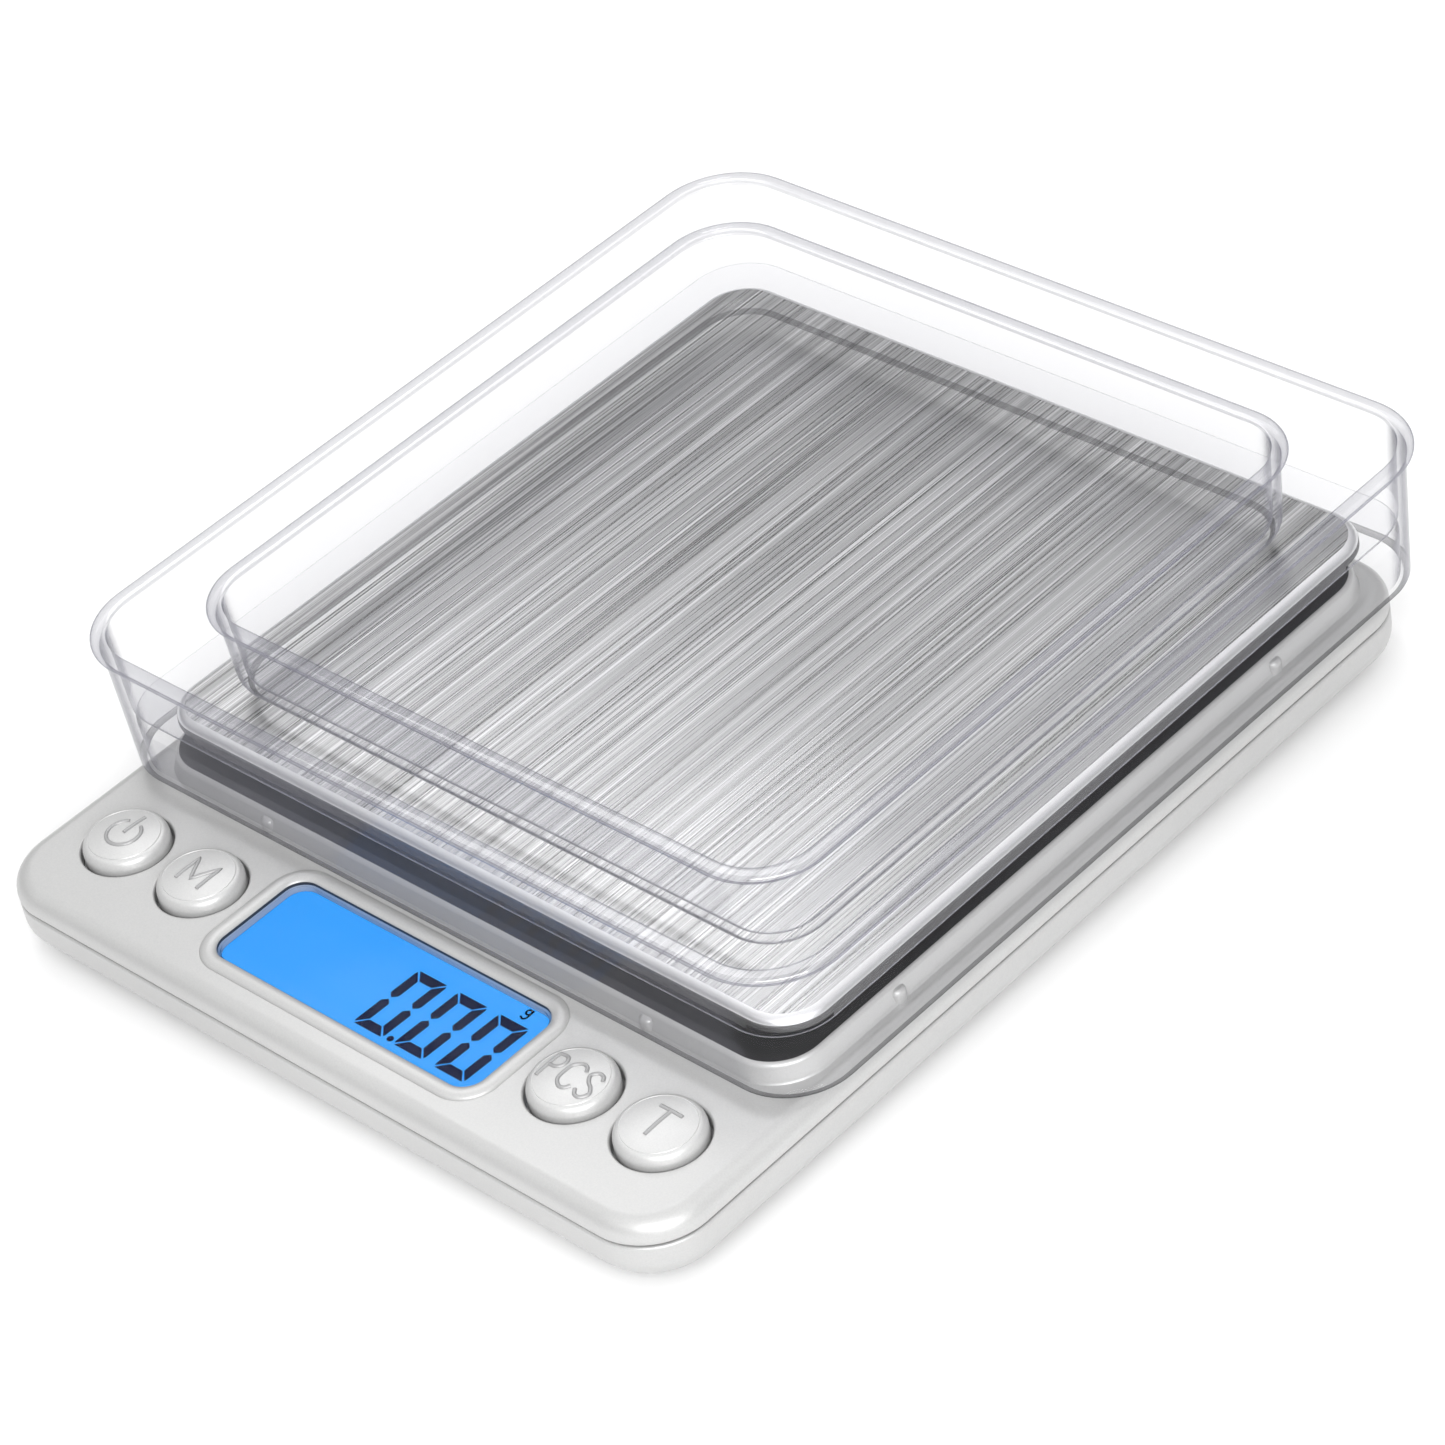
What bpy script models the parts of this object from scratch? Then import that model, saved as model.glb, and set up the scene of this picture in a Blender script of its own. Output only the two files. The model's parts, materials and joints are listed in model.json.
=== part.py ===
"""Digital gram scale with two clear trays: casing, display, four buttons, load cell, batteries and platform.

Sizes below are millimetres in the casing's own frame: X along the button row, Y from the display to the
back, Z up from the table. at() turns them into metres and centres the whole assembly on the origin.
"""

import math

import bmesh
import bpy
from mathutils import Matrix, Vector

MM = 0.001
GAP = 0.3

# Casing
BODY_X = 106.0
BODY_Y = 128.0
BODY_R = 8.0
PLINTH_X = 94.0
PLINTH_Y = 116.0
FOOT_H = 1.5
PLINTH_Z = 1.0
SIDE_Z = 2.3
FLOOR_Z = 2.4
LEDGE_Z = 4.1
SEAM_Z = 7.6
DECK_Z = 10.7
WALL = 1.8
UNDERSIDE_Z = DECK_Z - WALL
LIP_Z = 8.6
SHOULDER_R = 2.2
PLATEAU_X = 99.4
PLATEAU_FRONT = -40.0
PLATEAU_BACK = 61.0
PLATEAU_Z = 13.1
PLATEAU_WALL = 1.6

# Front panel
PANEL_Y = -51.2
WINDOW_X = 41.4
WINDOW_Y = 14.4
BEZEL_W = 2.0
BEZEL_H = 0.5
WINDOW_Z = 10.0
LCD_Z = 8.2
BUTTON_XS = (-42.4, -29.6, 29.6, 42.4)
BUTTON_NAMES = ("power", "mode", "count", "tare")
BUTTON_R = 5.1
BUTTON_HOLE_R = 5.45
BUTTON_TOP = 12.5
CAP_Z = 7.7

BOARD_Z = (4.4, 5.6)

# Platform and trays
CELL_Y = 12.0
PLATFORM = 100.0
PLATFORM_R = 6.0
PLATFORM_TOP = 18.0
FLANGE_Z = 15.7
SHEET = 0.6
LARGE_RIM = 112.4
LARGE_FOOT = 109.0
LARGE_TOP = 30.2
SKIRT_Z = 12.0
SMALL_RIM = 92.2
SMALL_FLOOR = 89.0
SMALL_TOP = 31.9
TRAY_WALL = 1.1
TRAY_LIP = 0.9

# Power
BAY_Y = 36.0
BAY_X = 50.4
BAY_DEPTH = 23.0
CELL_PITCH = 11.2
BATTERY_R = 5.05
BATTERY_Z = 7.2
BATTERY_TIP = 23.6
BATTERY_BASE = 20.6
HINGE_X = -24.5
HINGE_Z = 1.4

# The box of the whole assembly runs from the casing's front to the large tray's back.
CENTRE_Y = (CELL_Y + LARGE_RIM / 2 - BODY_Y / 2) / 2

CASING_SCREWS = [(x, y) for x in (-42.0, 42.0) for y in (-32.0, 55.0)]
FEET = [(x, y) for x in (-41.0, 41.0) for y in (-50.0, 43.0)]
BOARD_SCREWS = [(-36.0, -41.5), (36.0, -41.5)]
BASE_SCREWS = [(-19.0, CELL_Y), (-13.0, CELL_Y)]
PAN_SCREWS = [(13.0, CELL_Y), (19.0, CELL_Y)]
CORNERS = ((-1, -1), (1, -1), (1, 1), (-1, 1))

SILVER = ((0.62, 0.62, 0.61), 0.35, 0.38)
STEEL = ((0.60, 0.60, 0.60), 1.0, 0.28)
SCREW_STEEL = ((0.45, 0.45, 0.46), 1.0, 0.35)
ALUMINIUM = ((0.75, 0.76, 0.77), 1.0, 0.35)
BLACK_RUBBER = ((0.03, 0.03, 0.03), 0.0, 0.8)
BLACK_PLASTIC = ((0.03, 0.03, 0.035), 0.0, 0.5)
GREY_PLASTIC = ((0.25, 0.25, 0.26), 0.0, 0.5)
CLEAR = ((0.92, 0.95, 0.97), 0.0, 0.05, 0.3)
BLUE = ((0.05, 0.35, 1.0), 0.0, 0.3)
BOARD_GREEN = ((0.02, 0.18, 0.08), 0.0, 0.5)
WHITE = ((0.85, 0.85, 0.83), 0.0, 0.5)
NICKEL = ((0.70, 0.69, 0.66), 1.0, 0.3)
WIRE_RED = ((0.6, 0.03, 0.02), 0.0, 0.5)
WIRE_BLACK = ((0.02, 0.02, 0.02), 0.0, 0.5)
WIRE_WHITE = ((0.8, 0.8, 0.8), 0.0, 0.5)
WIRE_GREEN = ((0.05, 0.4, 0.1), 0.0, 0.5)


def clear_scene():
    for obj in list(bpy.data.objects):
        bpy.data.objects.remove(obj, do_unlink=True)


def collection(name):
    made = bpy.data.collections.new(name)
    bpy.context.scene.collection.children.link(made)
    return made


clear_scene()
PARTS = collection("gram_scale")
CUTTERS = collection("cutters")
CUTTERS.hide_render = True


def at(x, y, z):
    """Metres in the assembly's frame, from millimetres in the casing's."""
    return Vector((x, y - CENTRE_Y, z)) * MM


def finish(obj, look):
    """Puts an object in the parts' collection with its own material, or among the cutters if look is None."""
    if look is None:
        CUTTERS.objects.link(obj)
        obj.hide_render = True
        obj.display_type = "WIRE"
        return obj
    PARTS.objects.link(obj)
    colour, metallic, roughness = look[:3]
    material = bpy.data.materials.new(obj.name)
    material.use_nodes = True
    shader = material.node_tree.nodes["Principled BSDF"]
    shader.inputs["Base Color"].default_value = (*colour, 1.0)
    shader.inputs["Metallic"].default_value = metallic
    shader.inputs["Roughness"].default_value = roughness
    if len(look) == 4:
        shader.inputs["Alpha"].default_value = look[3]
    obj.data.materials.append(material)
    return obj


def mesh_object(name, bm, look, place):
    mesh = bpy.data.meshes.new(name)
    bm.to_mesh(mesh)
    bm.free()
    mesh.shade_smooth()
    mesh.set_sharp_from_angle(angle=math.radians(35))
    obj = bpy.data.objects.new(name, mesh)
    obj.location = place
    return finish(obj, look)


def upright(edge):
    return abs(edge.verts[0].co.z - edge.verts[1].co.z) > 1e-6


def rim_edges(bm, z):
    return [e for e in bm.edges if all(abs(v.co.z - z) < 1e-7 for v in e.verts)]


def rounded_bmesh(size, corner=0.0, top=0.0, bottom=0.0, taper=0.0, corner_steps=5, edge_steps=3):
    """A block centred on its origin, with rounded upright corners and rounded top and bottom edges.

    taper is how much narrower the bottom is than the top, on each side.
    """
    sx, sy, sz = (value * MM for value in size)
    bm = bmesh.new()
    bmesh.ops.create_cube(bm, size=1.0, matrix=Matrix.Diagonal((sx, sy, sz, 1.0)))
    if corner:
        edges = [e for e in bm.edges if upright(e)]
        bmesh.ops.bevel(bm, geom=edges, offset=corner * MM, segments=corner_steps, profile=0.5,
                        affect="EDGES", clamp_overlap=True)
    if taper:
        for vert in bm.verts:
            if vert.co.z < 0:
                vert.co.x *= 1 - 2 * taper * MM / sx
                vert.co.y *= 1 - 2 * taper * MM / sy
    for radius, z in ((top, sz / 2), (bottom, -sz / 2)):
        if radius:
            bmesh.ops.bevel(bm, geom=rim_edges(bm, z), offset=radius * MM, segments=edge_steps,
                            profile=0.5, affect="EDGES", clamp_overlap=True)
    return bm


def block(name, size, centre, look, **rounding):
    """A rounded block whose centre stands at the given x and y and whose z runs between the given pair."""
    x, y, (low, high) = centre
    bm = rounded_bmesh((*size, high - low), **rounding)
    return mesh_object(name, bm, look, at(x, y, (low + high) / 2))


def cylinder(name, radius, x, y, low, high, look=None, steps=16, axis="Z"):
    """A plain cylinder. Along X or Y, low and high are the ends on that axis and the pair x, y its centre."""
    bm = bmesh.new()
    bmesh.ops.create_cone(bm, cap_ends=True, segments=steps, radius1=radius * MM, radius2=radius * MM,
                          depth=(high - low) * MM)
    middle = (low + high) / 2
    if axis == "Y":
        bmesh.ops.rotate(bm, verts=bm.verts, matrix=Matrix.Rotation(math.pi / 2, 3, "X"))
        return mesh_object(name, bm, look, at(x, middle, y))
    if axis == "X":
        bmesh.ops.rotate(bm, verts=bm.verts, matrix=Matrix.Rotation(math.pi / 2, 3, "Y"))
        return mesh_object(name, bm, look, at(middle, x, y))
    return mesh_object(name, bm, look, at(x, y, middle))


def turned(name, profile, place, look, steps=24, turn=None):
    """A solid of revolution from (radius, height) pairs that run down its outer side, top to bottom."""
    mesh = bpy.data.meshes.new(name)
    points = [(r * MM, 0.0, z * MM) for r, z in profile]
    mesh.from_pydata(points, [(i, i + 1) for i in range(len(points) - 1)], [])
    obj = bpy.data.objects.new(name, mesh)
    obj.location = place
    if turn:
        obj.rotation_euler = turn
    screw = obj.modifiers.new("turn", "SCREW")
    screw.steps = steps
    screw.render_steps = steps
    screw.use_merge_vertices = True
    screw.merge_threshold = 0.00001
    return finish(obj, look)


def boolean(target, other, operation):
    modifier = target.modifiers.new(f"{operation.lower()}_{other.name}", "BOOLEAN")
    modifier.operation = operation
    modifier.solver = "EXACT"
    modifier.object = other


def cut(target, *others):
    for other in others:
        boolean(target, other, "DIFFERENCE")


def join(target, *others):
    for other in others:
        boolean(target, other, "UNION")


def smooth_route(points, steps=3):
    """Points along a Catmull-Rom curve through the route's own points."""
    points = [Vector(p) for p in points]
    ends = [2 * points[0] - points[1], *points, 2 * points[-1] - points[-2]]
    route = []
    for a, b, c, d in zip(ends, ends[1:], ends[2:], ends[3:]):
        for i in range(steps):
            t = i / steps
            route.append(0.5 * (2 * b + (c - a) * t + (2 * a - 5 * b + 4 * c - d) * t**2
                                + (3 * b - a - 3 * c + d) * t**3))
    return [*route, points[-1]]


def wire(name, route, radius, look):
    curve = bpy.data.curves.new(name, "CURVE")
    curve.dimensions = "3D"
    curve.bevel_depth = radius * MM
    curve.bevel_resolution = 2
    curve.use_fill_caps = True
    spline = curve.splines.new("POLY")
    spline.points.add(len(route) - 1)
    for point, place in zip(spline.points, route):
        point.co = (*at(*place), 1.0)
    return finish(bpy.data.objects.new(name, curve), look)


def build_bottom_casing():
    body = block("bottom_casing", (BODY_X, BODY_Y), (0, 0, (SIDE_Z, SEAM_Z)), SILVER,
                 corner=BODY_R, bottom=3.0)
    plinth = block("plinth", (PLINTH_X, PLINTH_Y), (0, 0, (PLINTH_Z, LEDGE_Z + 0.5)), None, corner=5.0)
    lip_x, lip_y = BODY_X - 2 * WALL - 2 * GAP, BODY_Y - 2 * WALL - 2 * GAP
    lip = block("lip", (lip_x, lip_y), (0, 0, (SEAM_Z - 1.2, LIP_Z)), None, corner=5.9)
    join(body, plinth, lip)
    cavity = block("cavity", (BODY_X - 2 * WALL, BODY_Y - 2 * WALL), (0, 0, (LEDGE_Z, SEAM_Z - 0.6)), None,
                   corner=BODY_R - WALL)
    floor = block("floor_pocket", (PLINTH_X - 3, PLINTH_Y - 3), (0, 0, (FLOOR_Z, LEDGE_Z + 0.6)), None,
                  corner=3.5)
    mouth = block("lip_mouth", (lip_x - 2.4, lip_y - 2.4), (0, 0, (SEAM_Z - 1.4, LIP_Z + 1)), None,
                  corner=4.7)
    cut(body, cavity, floor, mouth)

    bay = block("bay_walls", (BAY_X + 2.4, BAY_DEPTH + 2.4), (0, BAY_Y, (PLINTH_Z + 0.2, 11.2)), None)
    join(body, bay)
    hollow = block("bay_hollow", (BAY_X, BAY_DEPTH), (0, BAY_Y, (FLOOR_Z, 12.0)), None)
    opening = block("bay_opening", (46.8, 20.4), (0, BAY_Y, (PLINTH_Z - 1, FLOOR_Z + 0.5)), None)
    recess = block("door_recess", (50.6, 22.4), (0, BAY_Y, (PLINTH_Z - 1, 2.1)), None)
    cut(body, hollow, opening, recess)

    for i, (x, y) in enumerate(CASING_SCREWS, 1):
        join(body, cylinder(f"casing_boss_{i}", 3.9, x, y, FLOOR_Z - 0.6, 5.6))
    for i, (x, y) in enumerate(BOARD_SCREWS, 1):
        join(body, cylinder(f"board_post_{i}", 3.0, x, y, FLOOR_Z - 0.6, LEDGE_Z))
    join(body, block("cell_seat", (15.0, 12.0), (-16.0, CELL_Y, (FLOOR_Z - 0.6, LEDGE_Z)), None))
    for i, (x, y) in enumerate(CASING_SCREWS, 1):
        cut(body, cylinder(f"casing_bore_{i}", 1.6, x, y, 0, 7),
            cylinder(f"casing_counterbore_{i}", 2.9, x, y, 0, 3.2))
    for i, (x, y) in enumerate(BASE_SCREWS, 1):
        cut(body, cylinder(f"base_bore_{i}", 1.8, x, y, 0, 6),
            cylinder(f"base_counterbore_{i}", 2.7, x, y, 0, 2.9))
    for i, (x, y) in enumerate(BOARD_SCREWS, 1):
        cut(body, cylinder(f"board_bore_{i}", 1.3, x, y, FLOOR_Z + 0.2, 6))
    for i, (x, y) in enumerate(FEET, 1):
        cut(body, cylinder(f"foot_recess_{i}", 4.8, x, y, 0, FOOT_H + GAP))
    for i, y in enumerate((BAY_Y - CELL_PITCH / 2, BAY_Y + CELL_PITCH / 2), 1):
        cut(body, cylinder(f"lead_hole_{i}", 0.9, y, 9.6, -28, -24, axis="X", steps=12))


def build_top_casing():
    body = block("top_casing", (BODY_X, BODY_Y), (0, 0, (SEAM_Z + GAP, DECK_Z)), SILVER,
                 corner=BODY_R, top=SHOULDER_R, edge_steps=4)
    depth = PLATEAU_BACK - PLATEAU_FRONT
    middle = (PLATEAU_BACK + PLATEAU_FRONT) / 2
    plateau = block("plateau", (PLATEAU_X, depth), (0, middle, (DECK_Z - 1.2, PLATEAU_Z)), None,
                    corner=6.5, top=0.7, taper=-0.6, edge_steps=2)
    bezel = block("bezel", (WINDOW_X + 2 * BEZEL_W, WINDOW_Y + 2 * BEZEL_W),
                  (0, PANEL_Y, (DECK_Z - 1, DECK_Z + BEZEL_H)), None, corner=4.2, top=0.4, edge_steps=2)
    join(body, plateau, bezel)
    bumps = [(x, PLATEAU_FRONT - 0.3) for x in (-30.0, 30.0)]
    bumps += [(side * (PLATEAU_X / 2 + 0.2), y) for side in (-1, 1) for y in (-22.0, 42.0)]
    for i, (x, y) in enumerate(bumps, 1):
        join(body, block(f"snap_bump_{i}", (1.6, 1.6), (x, y, (DECK_Z - 0.5, DECK_Z + 1.6)), None,
                         top=0.5, edge_steps=2))
    cavity = block("deck_cavity", (BODY_X - 2 * WALL, BODY_Y - 2 * WALL), (0, 0, (SEAM_Z - 1, UNDERSIDE_Z)),
                   None, corner=BODY_R - WALL)
    under = block("plateau_cavity", (PLATEAU_X - 2 * PLATEAU_WALL, depth - 2 * PLATEAU_WALL),
                  (0, middle, (SEAM_Z, PLATEAU_Z - PLATEAU_WALL)), None, corner=5.0)
    pocket = block("battery_pocket", (BAY_X + 1, BAY_DEPTH), (0, BAY_Y, (SEAM_Z, 12.5)), None)
    window = block("window_hole", (WINDOW_X, WINDOW_Y), (0, PANEL_Y, (SEAM_Z, DECK_Z + 2)), None, corner=2.6)
    cut(body, cavity, under, pocket, window)
    for name, x in zip(BUTTON_NAMES, BUTTON_XS):
        cut(body, cylinder(f"hole_{name}", BUTTON_HOLE_R, x, PANEL_Y, SEAM_Z, DECK_Z + 2, steps=32))
    for i, (x, y) in enumerate(CASING_SCREWS, 1):
        join(body, cylinder(f"top_boss_{i}", 3.6, x, y, 5.9, PLATEAU_Z - 0.6))
    for i, (x, y) in enumerate(CASING_SCREWS, 1):
        cut(body, cylinder(f"top_bore_{i}", 1.6, x, y, 5, 9.6))
    cut(body, block("boss_opening", (18.0, 14.0), (16.0, CELL_Y, (SEAM_Z, PLATEAU_Z + 2)), None, corner=2.0,
                    corner_steps=3))


def screw(name, x, y, base, length, head_r, head_h, shank_r, down=False, look=SCREW_STEEL):
    """A pan-head screw: base is the head's outer face, and the shank runs away from it."""
    side = -1 if down else 1
    profile = [(0, length), (shank_r - 0.3, length), (shank_r, length - 0.5), (shank_r, head_h),
               (head_r, head_h), (head_r, 0.5), (head_r - 0.5, 0), (0, 0)]
    turn = (math.pi, 0, 0) if down else None
    obj = turned(name, profile, at(x, y, base), look, steps=12, turn=turn)
    for i, size in enumerate(((head_r * 1.2, 0.5), (0.5, head_r * 1.2)), 1):
        low, high = sorted((base - side * 0.5, base + side * 0.7))
        cut(obj, block(f"{name}_slot_{i}", size, (x, y, (low, high)), None))


def build_fasteners():
    for i, (x, y) in enumerate(CASING_SCREWS, 1):
        screw(f"casing_screw_{i}", x, y, 1.3, 8.0, 2.5, 1.6, 1.3)
    for i, (x, y) in enumerate(BASE_SCREWS, 1):
        screw(f"base_screw_{i}", x, y, 1.2, 8.2, 2.3, 1.4, 1.4)
    for i, (x, y) in enumerate(BOARD_SCREWS, 1):
        screw(f"board_screw_{i}", x, y, 7.0, 3.8, 1.9, 1.1, 1.0, down=True)
    for i, (x, y) in enumerate(PAN_SCREWS, 1):
        screw(f"pan_screw_{i}", x, y, 16.5, 10.0, 2.3, 1.2, 1.4, down=True)


def build_feet_and_door():
    for i, (x, y) in enumerate(FEET, 1):
        profile = [(0, FOOT_H), (4.5, FOOT_H), (4.5, 0.5), (4.3, 0.15), (4.0, 0), (0, 0)]
        turned(f"foot_{i}", profile, at(x, y, 0), BLACK_RUBBER, steps=20)
    bm = rounded_bmesh((50.0, 21.8, 0.8), corner=0.6, corner_steps=2)
    bmesh.ops.translate(bm, verts=bm.verts, vec=Vector((-HINGE_X * MM, 0, 0)))
    door = mesh_object("battery_door", bm, SILVER, at(HINGE_X, BAY_Y, HINGE_Z))
    for i, x in enumerate((17.0, 19.0, 21.0), 1):
        cut(door, cylinder(f"door_grip_{i}", 0.5, x, 0.85, BAY_Y - 5, BAY_Y + 5, axis="Y", steps=12))


def build_display():
    pane = (WINDOW_X - 2 * GAP, WINDOW_Y - 2 * GAP)
    block("display_window", pane, (0, PANEL_Y, (WINDOW_Z, WINDOW_Z + 0.5)), CLEAR, corner=2.3)
    block("lcd_panel", pane, (0, PANEL_Y, (LCD_Z, LCD_Z + 1.5)), BLUE, corner=2.3)
    block("lcd_backlight", (40.0, 10.4), (0, PANEL_Y, (BOARD_Z[1] + GAP, LCD_Z - GAP)), WHITE)
    for name, side in (("front", -1), ("rear", 1)):
        block(f"zebra_strip_{name}", (40.0, 1.2), (0, PANEL_Y + side * 6.2, (BOARD_Z[1] + GAP, LCD_Z - GAP)),
              GREY_PLASTIC)


def build_board():
    board = block("circuit_board", (94.0, 22.0), (0, -49.5, BOARD_Z), BOARD_GREEN, corner=1.5, corner_steps=2)
    for i, (x, y) in enumerate(BOARD_SCREWS, 1):
        cut(board, cylinder(f"board_hole_{i}", 1.4, x, y, 4, 6, steps=16))
    block("controller_chip", (12.0, 12.0), (0, -50.0, (3.1, 4.1)), BLACK_PLASTIC, top=0.2, edge_steps=1)


def build_buttons():
    dome = [(0, 0), (2.2, -0.1), (4.2, -0.36), (4.7, -0.65), (5.0, -1.1), (BUTTON_R, -1.6)]
    flange = [(BUTTON_R, CAP_Z + 0.8), (6.0, CAP_Z + 0.8), (6.0, CAP_Z), (0, CAP_Z)]
    cap = [(r, BUTTON_TOP + drop) for r, drop in dome] + flange
    for i, (name, x) in enumerate(zip(BUTTON_NAMES, BUTTON_XS), 1):
        turned(f"button_{name}", [(r, z - CAP_Z) for r, z in cap], at(x, PANEL_Y, CAP_Z), SILVER, steps=28)
        turned(f"switch_plunger_{i}", [(0, 0.9), (1.5, 0.9), (1.5, 0), (0, 0)], at(x, PANEL_Y, 6.5),
               BLACK_PLASTIC, steps=16)
        body = block(f"switch_body_{i}", (5.6, 5.6), (x, PANEL_Y, (5.9, 6.9)), SCREW_STEEL)
        cut(body, cylinder(f"plunger_hole_{i}", 1.8, x, PANEL_Y, 5, 8, steps=16))


def build_load_cell():
    low, high = 4.4, 10.4
    middle = (low + high) / 2
    beam = block("load_cell", (50.0, 10.0), (0, CELL_Y, (low, high)), ALUMINIUM, corner=0.6, corner_steps=1)
    for i, x in enumerate((-4.5, 4.5), 1):
        cut(beam, cylinder(f"flexure_hole_{i}", 2.3, x, middle, CELL_Y - 8, CELL_Y + 8, axis="Y"))
    cut(beam, block("flexure_slot", (9.0, 16.0), (0, CELL_Y, (middle - 0.8, middle + 0.8)), None))
    for i, (x, y) in enumerate(BASE_SCREWS + PAN_SCREWS, 1):
        cut(beam, cylinder(f"cell_hole_{i}", 1.75, x, y, low - 1, high + 1, steps=16))
    block("strain_gauge_cover", (14.0, 8.0), (0, CELL_Y, (10.7, 11.2)), WHITE, corner=1.5, corner_steps=3)


def build_platform():
    sheet = weighing_sheet()
    notch = PLATFORM / 2 - 1.5
    for i, (sx, sy) in enumerate(CORNERS, 1):
        cut(sheet, block(f"corner_notch_{i}", (10.0, 10.0),
                         (sx * notch, CELL_Y + sy * notch, (FLANGE_Z - 2, FLANGE_Z + 0.7)), None))
    support = block("platform_support", (90.0, 90.0), (0, CELL_Y, (15.0, 16.7)), BLACK_PLASTIC, corner=5.0)
    join(support, block("support_boss", (13.0, 10.0), (16.0, CELL_Y, (11.0, 15.6)), None,
                        corner=1.0, corner_steps=2))
    for i, (x, y) in enumerate(PAN_SCREWS, 1):
        cut(support, cylinder(f"pan_bore_{i}", 1.75, x, y, 9, 18, steps=16),
            cylinder(f"pan_counterbore_{i}", 2.6, x, y, 15.0, 18, steps=20))
    for i, (sx, sy) in enumerate(CORNERS, 1):
        block(f"platform_pad_{i}", (12.0, 12.0), (sx * 34.0, CELL_Y + sy * 34.0, (16.85, 17.25)),
              GREY_PLASTIC)


def weighing_sheet():
    """The pressed steel plate: an open shell, flanged down all round."""
    height = PLATFORM_TOP - FLANGE_Z
    bm = rounded_bmesh((PLATFORM, PLATFORM, height), corner=PLATFORM_R, top=1.3)
    bottom = [f for f in bm.faces if f.normal.z < -0.9]
    bmesh.ops.delete(bm, geom=bottom, context="FACES_ONLY")
    obj = mesh_object("weighing_platform", bm, STEEL, at(0, CELL_Y, (PLATFORM_TOP + FLANGE_Z) / 2))
    thicken(obj, SHEET)
    return obj


def thicken(obj, amount):
    solid = obj.modifiers.new("wall", "SOLIDIFY")
    solid.thickness = amount * MM
    solid.offset = -1
    solid.use_even_offset = True


def build_large_tray():
    """The walls reach below the floor, so that the tray drops over the platform and can't slide off it."""
    wall_top = LARGE_TOP - TRAY_WALL
    wide = LARGE_RIM - 2 * TRAY_LIP
    lean = (wide - LARGE_FOOT) / 2 / (wall_top - SKIRT_Z)
    floor = PLATFORM_TOP + GAP

    def drafted(name, inset, low, high, look, **rounding):
        top = wide - 2 * inset - 2 * lean * (wall_top - high)
        return block(name, (top, top), (0, CELL_Y, (low, high)), look, taper=lean * (high - low), **rounding)

    body = drafted("large_tray", 0, SKIRT_Z, wall_top + 0.2, CLEAR, corner=9.0)
    rim = block("tray_rim", (LARGE_RIM, LARGE_RIM), (0, CELL_Y, (wall_top, LARGE_TOP)), None,
                corner=9.9, top=0.4, bottom=0.4, edge_steps=2)
    join(body, rim)
    hollow = drafted("tray_hollow", TRAY_WALL, floor + TRAY_WALL, LARGE_TOP + 1, None, corner=7.9, bottom=1.2)
    cut(body, hollow, drafted("skirt_hollow", TRAY_WALL, SKIRT_Z - 1, floor, None, corner=7.9))


def build_small_tray():
    """An open shell whose rim turns outwards into a small lip."""
    low, wall_top = PLATFORM_TOP + 2 * GAP + TRAY_WALL, SMALL_TOP - TRAY_WALL
    wide = SMALL_RIM - 2 * TRAY_LIP
    bm = rounded_bmesh((wide, wide, wall_top - low), corner=8.0, bottom=3.0, taper=(wide - SMALL_FLOOR) / 2)
    top = [f for f in bm.faces if f.normal.z > 0.9]
    bmesh.ops.delete(bm, geom=top, context="FACES_ONLY")
    edge = [e for e in bm.edges if e.is_boundary]
    made = bmesh.ops.extrude_edge_only(bm, edges=edge)["geom"]
    for vert in (v for v in made if isinstance(v, bmesh.types.BMVert)):
        vert.co.x *= SMALL_RIM / wide
        vert.co.y *= SMALL_RIM / wide
    obj = mesh_object("small_tray", bm, CLEAR, at(0, CELL_Y, (wall_top + low) / 2))
    thicken(obj, TRAY_WALL)


def build_batteries():
    top, base, r = BATTERY_TIP, -BATTERY_BASE, BATTERY_R
    profile = [(0, top), (1.9, top), (1.9, top - 1.0), (r - 0.5, top - 1.0), (r, top - 1.5), (r, base + 0.4),
               (r - 0.4, base), (0, base)]
    for i, (side, side_y) in enumerate(((-1, -1), (1, 1)), 1):
        y = BAY_Y + side_y * CELL_PITCH / 2
        turned(f"battery_{i}", profile, at(0, y, BATTERY_Z), GREY_PLASTIC, steps=24,
               turn=(0, side * math.pi / 2, 0))
        spring_x = -side * 22.45
        coil = [(spring_x + 1.3 * (k / 15 - 1), y + 2.6 * math.cos(k * math.pi / 5),
                 BATTERY_Z + 2.6 * math.sin(k * math.pi / 5)) for k in range(31)]
        wire(f"battery_spring_{i}", coil, 0.22, NICKEL)
    for name, offset in (("positive", -1), ("negative", 1)):
        y = BAY_Y + offset * CELL_PITCH / 2
        plate = block(f"terminal_{name}", (0.4, 8.0), (-24.5, y, (3.4, 10.6)), NICKEL)
        join(plate, block(f"terminal_{name}_tab", (1.0, 2.0), (-24.4, y, (9.9, 11.4)), None))
    block("battery_link", (0.4, 20.0), (24.5, BAY_Y, (3.4, 10.6)), NICKEL)


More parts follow.
